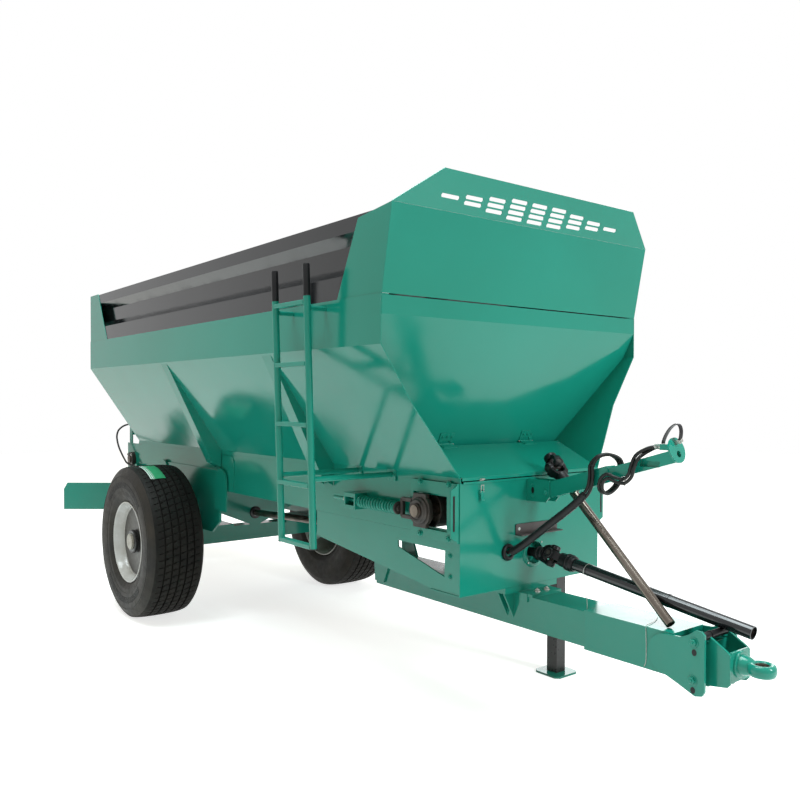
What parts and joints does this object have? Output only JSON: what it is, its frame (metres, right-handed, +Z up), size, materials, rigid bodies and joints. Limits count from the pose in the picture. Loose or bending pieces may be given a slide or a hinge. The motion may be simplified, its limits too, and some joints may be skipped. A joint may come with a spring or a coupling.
{
  "type": "manure spreader",
  "caption": "Trailed single-axle manure spreader with a V-shaped hopper over a floor conveyor, a slide gate and spinning discs at the rear, and a drawbar with a ring hitch.",
  "frame": {"origin": "on the ground, under the middle of the machine's length and width", "axes": "+X forward to the hitch, +Y to the machine's left, +Z up"},
  "size_m": [6.554, 2.128, 2.6781],
  "materials": {
    "green_paint": "glossy enamel",
    "black_paint": "glossy black enamel",
    "tyre": "matt",
    "white_paint": "gloss enamel",
    "cast_housing": "as cast, oiled",
    "bare_steel": "worn",
    "dark_paint": "satin",
    "hose": "satin"
  },
  "bodies": {
    "root": {"hopper_side_right": "green_paint", "hopper_side_left": "green_paint", "hopper_front_panel": "green_paint", "hopper_rear_panel": "green_paint", "front_shield": "green_paint", "front_screen": "green_paint", "rear_extension": "green_paint", "side_extension_right": "black_paint", "side_extension_left": "black_paint", "hull_wall_right": "green_paint", "hull_wall_left": "green_paint", "frame_plate_right": "green_paint", "frame_plate_left": "green_paint", "front_box": "green_paint", "conveyor_chain": "cast_housing", "conveyor_floor": "green_paint", "conveyor_front_shaft": "bare_steel", "conveyor_rear_shaft": "bare_steel", "takeup_plate_right": "green_paint", "takeup_plate_left": "green_paint", "takeup_right": "green_paint", "takeup_left": "green_paint", "conveyor_motor": "dark_paint", "rear_bearing": "cast_housing", "axle": "green_paint", "drawbar": "green_paint", "drawbar_nose": "green_paint", "hitch": "green_paint", "parking_leg_bracket": "green_paint", "ladder": "green_paint", "hose_arm": "green_paint", "front_hose_right": "hose", "front_hose_left": "hose", "rear_hose": "hose", "power_shaft_front_half": "black_paint", "power_shaft_rear_half": "bare_steel", "drive_shaft": "bare_steel", "spinner_gearbox": "dark_paint", "spinner_frame": "green_paint", "gate_cylinder": "dark_paint"},
    "wheel_right": {"tyre_right": "tyre", "rim_right": "white_paint", "hub_right": "dark_paint"},
    "wheel_left": {"tyre_left": "tyre", "rim_left": "white_paint", "hub_left": "dark_paint"},
    "parking_leg": {"parking_leg": "dark_paint"},
    "front_lid": {"front_lid": "green_paint"},
    "gate": {"gate": "green_paint"},
    "disc_right": {"spreading_disc_right": "bare_steel"},
    "disc_left": {"spreading_disc_left": "bare_steel"}
  },
  "joints": [
    {"name": "wheel_right_spin", "type": "hinge", "parent": "root", "child": "wheel_right", "pos_m": [-1.097, -0.851, 0.562], "axis": [0, 1, 0], "continuous": true},
    {"name": "wheel_left_spin", "type": "hinge", "parent": "root", "child": "wheel_left", "pos_m": [-1.097, 0.851, 0.562], "axis": [0, 1, 0], "continuous": true},
    {"name": "parking_leg_fold", "type": "hinge", "parent": "root", "child": "parking_leg", "pos_m": [1.655, 0.577, 0.657], "axis": [0, -1, 0], "range_deg": [0, 99]},
    {"name": "front_lid_open", "type": "hinge", "parent": "root", "child": "front_lid", "pos_m": [1.62795, 0, 1.39053], "axis": [0, -1, 0], "range_deg": [0, 75]},
    {"name": "gate_lift", "type": "slide", "parent": "root", "child": "gate", "axis": [0, 0, 1], "range_m": [0, 0.36]},
    {"name": "disc_right_spin", "type": "hinge", "parent": "root", "child": "disc_right", "pos_m": [-2.927, -0.4, 0.704], "axis": [0, 0, 1], "continuous": true},
    {"name": "disc_left_spin", "type": "hinge", "parent": "root", "child": "disc_left", "pos_m": [-2.927, 0.4, 0.704], "axis": [0, 0, 1], "continuous": true}
  ],
  "couplings": [
    {"joint": "disc_left_spin", "follows": "disc_right_spin", "ratio": -1}
  ]
}
